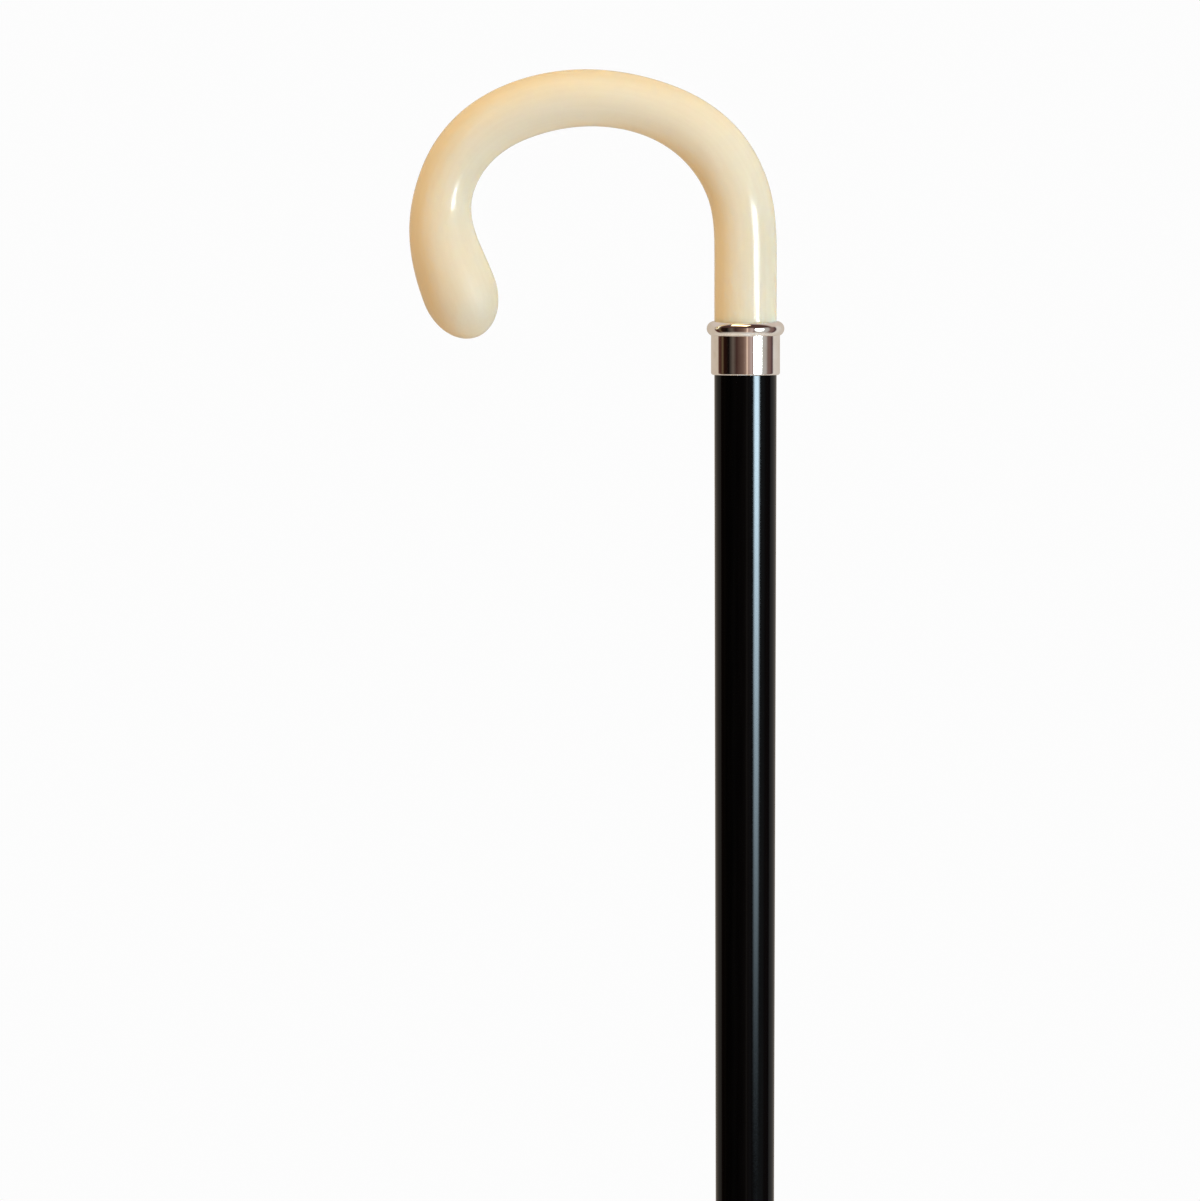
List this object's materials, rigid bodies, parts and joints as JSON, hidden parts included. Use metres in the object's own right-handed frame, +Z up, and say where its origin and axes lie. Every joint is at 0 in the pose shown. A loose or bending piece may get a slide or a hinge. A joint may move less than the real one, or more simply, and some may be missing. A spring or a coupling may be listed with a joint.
{
  "type": "walking cane",
  "caption": "Walking cane with a round crook handle, a plated collar, a slim tapered lacquered shaft and a rubber ferrule. It takes a hand's weight and hooks over an arm or rail.",
  "frame": {"origin": "middle of the ferrule's sole, on the shaft's centre line, where the cane meets the ground", "axes": "+Z up along the shaft's centre line towards the handle; the crook bends over towards -X in the XZ plane; +Y is square to the crook"},
  "size_m": [0.1228, 0.03, 0.9143],
  "materials": {
    "handle": "moulded cream acrylic that imitates ivory, polished, with faint lengthwise grain",
    "collar": "nickel plate on brass, mirror polish",
    "shaft": "turned beech under black gloss lacquer",
    "rubber": "moulded black rubber, matt",
    "steel": "bright zinc-plated steel"
  },
  "bodies": {
    "root": {"crook_handle": "handle", "collar": "collar", "joining_stud": "steel", "shaft": "shaft", "ferrule_washer": "steel", "ferrule": "rubber"}
  },
  "joints": []
}
